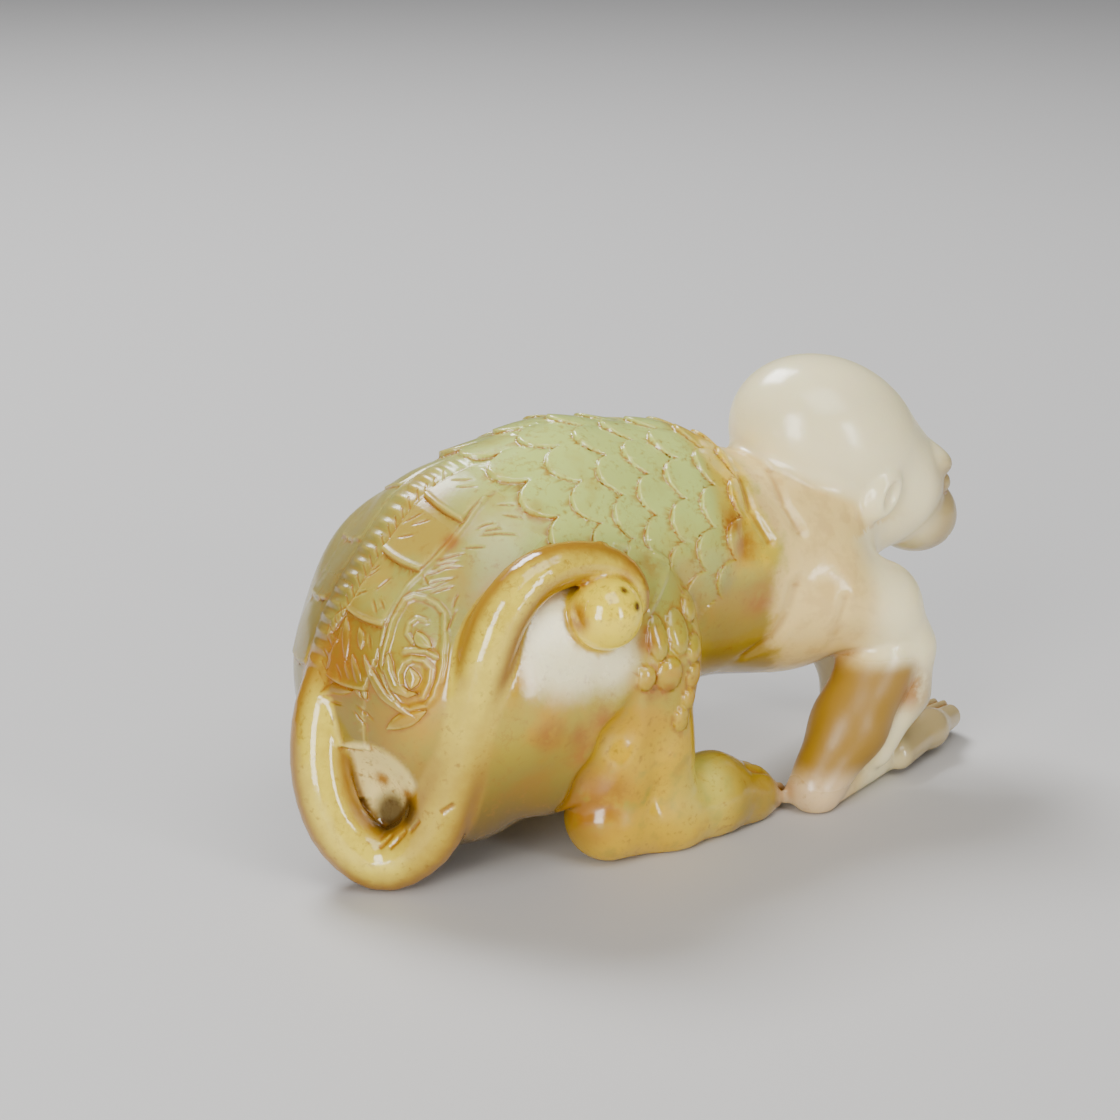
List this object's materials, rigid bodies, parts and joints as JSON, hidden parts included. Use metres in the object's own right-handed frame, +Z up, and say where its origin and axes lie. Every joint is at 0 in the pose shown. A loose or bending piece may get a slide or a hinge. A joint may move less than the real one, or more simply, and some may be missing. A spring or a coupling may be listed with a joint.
{
  "type": "jade monkey carving",
  "caption": "Polished jade carving of a crouching monkey with a scaled back and a long tail that loops up over one hip.",
  "frame": {"origin": "middle of the carving's box, on the surface that its feet and the loop of its tail rest on", "axes": "+X along the body towards the head, +Y towards the animal's left, +Z up"},
  "size_m": [0.0913, 0.0406, 0.0483],
  "materials": {
    "jade": "polished yellow-green jade with honey and russet skin and an ivory head, slightly translucent"
  },
  "bodies": {
    "root": {"monkey": "jade"}
  },
  "joints": []
}
